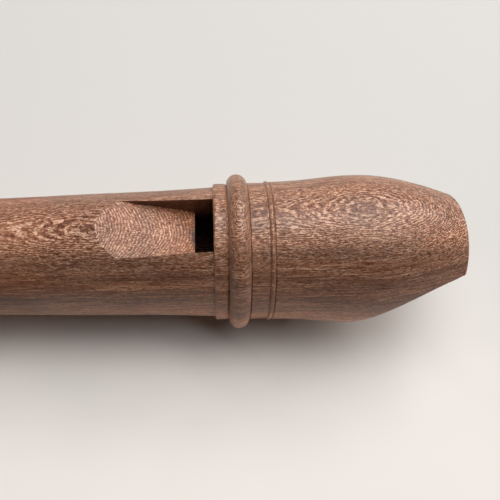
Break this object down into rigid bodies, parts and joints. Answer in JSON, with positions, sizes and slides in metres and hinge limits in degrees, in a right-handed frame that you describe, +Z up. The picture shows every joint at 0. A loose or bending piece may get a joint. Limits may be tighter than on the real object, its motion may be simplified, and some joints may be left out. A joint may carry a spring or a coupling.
{
  "type": "soprano recorder",
  "caption": "Wooden soprano recorder in three turned joints, with a plugged beak, window, corked tenons and double tone holes, lying on its back.",
  "frame": {"origin": "under the middle of the recorder's length, on the surface that its widest rings rest on, straight below the bore's axis", "axes": "+X along the bore from the foot to the beak, +Z up out of the window and the finger holes, +Y across; the bore's axis is 14.6 mm above the origin"},
  "size_m": [0.327, 0.0292, 0.0292],
  "materials": {
    "hardwood": "satin oiled reddish-brown hardwood with fine pores and wavy light lines",
    "block_cedar": "raw matte red cedar",
    "cork": "waxed matte sheet cork"
  },
  "bodies": {
    "middle": {"middle_joint": "hardwood"},
    "head_cork": {"head_tenon_cork": "cork"},
    "head": {"head_joint": "hardwood"},
    "block": {"block": "block_cedar"},
    "foot_cork": {"foot_tenon_cork": "cork"},
    "foot": {"foot_joint": "hardwood"}
  },
  "joints": [
    {"name": "head_twist", "type": "hinge", "parent": "middle", "child": "head_cork", "pos_m": [0.0355, 0, 0.0146], "axis": [1, 0, 0], "continuous": true},
    {"name": "head_pull", "type": "slide", "parent": "head_cork", "child": "head", "axis": [1, 0, 0], "range_m": [0, 0.03]},
    {"name": "block_push", "type": "slide", "parent": "head", "child": "block", "axis": [1, 0, 0], "range_m": [0, 0.05]},
    {"name": "foot_twist", "type": "hinge", "parent": "middle", "child": "foot_cork", "pos_m": [-0.094, 0, 0.0146], "axis": [-1, 0, 0], "continuous": true},
    {"name": "foot_pull", "type": "slide", "parent": "foot_cork", "child": "foot", "axis": [-1, 0, 0], "range_m": [0, 0.018]}
  ]
}
